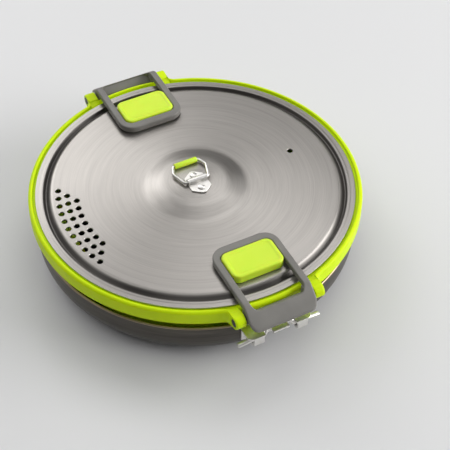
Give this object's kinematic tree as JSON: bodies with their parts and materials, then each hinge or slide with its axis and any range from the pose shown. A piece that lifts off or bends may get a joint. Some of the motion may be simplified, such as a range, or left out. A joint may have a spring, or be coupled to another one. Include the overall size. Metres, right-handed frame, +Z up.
{
  "type": "nesting camping cook set",
  "caption": "Collapsible silicone-walled camping pot with a latched strainer lid, nested in a shallow fry pan with a folding wire handle",
  "frame": {"origin": "on the pot's axis, on the surface that the fry pan stands on, midway between the two latches", "axes": "+Z up, -Y towards the pan's handle bracket and the front latch, +Y towards the rear latch, -X towards the lid's strainer holes, +X towards its vent"},
  "size_m": [0.2162, 0.2438, 0.0592],
  "materials": {
    "anodised_aluminium": "dark hard-anodised, satin",
    "turned_aluminium": "fine concentric turning lines, anodised grey",
    "stainless_steel": "polished",
    "lime_nylon": "satin moulded nylon",
    "lime_silicone": "soft matte silicone",
    "grey_nylon": "satin moulded nylon"
  },
  "bodies": {
    "fry_pan": {"pan_body": "anodised_aluminium", "pan_bracket": "stainless_steel", "pan_rivet_left": "stainless_steel", "pan_rivet_right": "stainless_steel"},
    "pan_handle": {"pan_handle_wire": "stainless_steel", "pan_handle_grip": "lime_silicone"},
    "pot_base": {"pot_base": "anodised_aluminium", "base_crimp_ring": "stainless_steel", "base_tier": "lime_silicone", "lower_fold": "lime_silicone"},
    "pot_mid": {"mid_tier": "lime_silicone", "upper_fold": "lime_silicone"},
    "rim": {"rim_ring": "lime_nylon", "rim_tier": "lime_silicone"},
    "front_latch": {"front_latch_frame": "grey_nylon", "front_latch_pad": "lime_silicone", "front_pin_left": "grey_nylon", "front_pin_right": "grey_nylon"},
    "rear_latch": {"rear_latch_frame": "grey_nylon", "rear_latch_pad": "lime_silicone", "rear_pin_left": "grey_nylon", "rear_pin_right": "grey_nylon"},
    "lid": {"lid": "turned_aluminium", "bail_bracket": "stainless_steel", "bail_rivet_front": "stainless_steel", "bail_rivet_rear": "stainless_steel"},
    "bail": {"bail_wire": "stainless_steel", "bail_sleeve": "lime_silicone"}
  },
  "joints": [
    {"name": "pot_lift", "type": "slide", "parent": "fry_pan", "child": "pot_base", "axis": [0, 0, 1], "range_m": [0, 0.415]},
    {"name": "pan_handle_swing", "type": "hinge", "parent": "fry_pan", "child": "pan_handle", "pos_m": [0, -0.1133, 0.0275], "axis": [1, 0, 0], "range_deg": [0, 170]},
    {"name": "mid_rise", "type": "slide", "parent": "pot_base", "child": "pot_mid", "axis": [0, 0, 1], "range_m": [0, 0.038], "deforming": ["lower_fold"]},
    {"name": "rim_rise", "type": "slide", "parent": "pot_mid", "child": "rim", "axis": [0, 0, 1], "range_m": [0, 0.038], "deforming": ["upper_fold"]},
    {"name": "lid_lift", "type": "slide", "parent": "rim", "child": "lid", "axis": [0, 0, 1], "range_m": [0, 0.021]},
    {"name": "front_latch_swing", "type": "hinge", "parent": "rim", "child": "front_latch", "pos_m": [0, -0.1113, 0.0476], "axis": [1, 0, 0], "range_deg": [0, 100]},
    {"name": "rear_latch_swing", "type": "hinge", "parent": "rim", "child": "rear_latch", "pos_m": [0, 0.1113, 0.0476], "axis": [-1, 0, 0], "range_deg": [0, 100]},
    {"name": "bail_swing", "type": "hinge", "parent": "lid", "child": "bail", "pos_m": [0, -0.002, 0.0572], "axis": [1, 0, 0], "range_deg": [0, 168]}
  ],
  "couplings": [
    {"joint": "pan_handle_swing", "follows": "pot_lift", "rad_per_m": 7.1429},
    {"joint": "rim_rise", "follows": "mid_rise", "ratio": 1},
    {"joint": "front_latch_swing", "follows": "lid_lift", "rad_per_m": 83.11},
    {"joint": "rear_latch_swing", "follows": "lid_lift", "rad_per_m": 83.11}
  ]
}
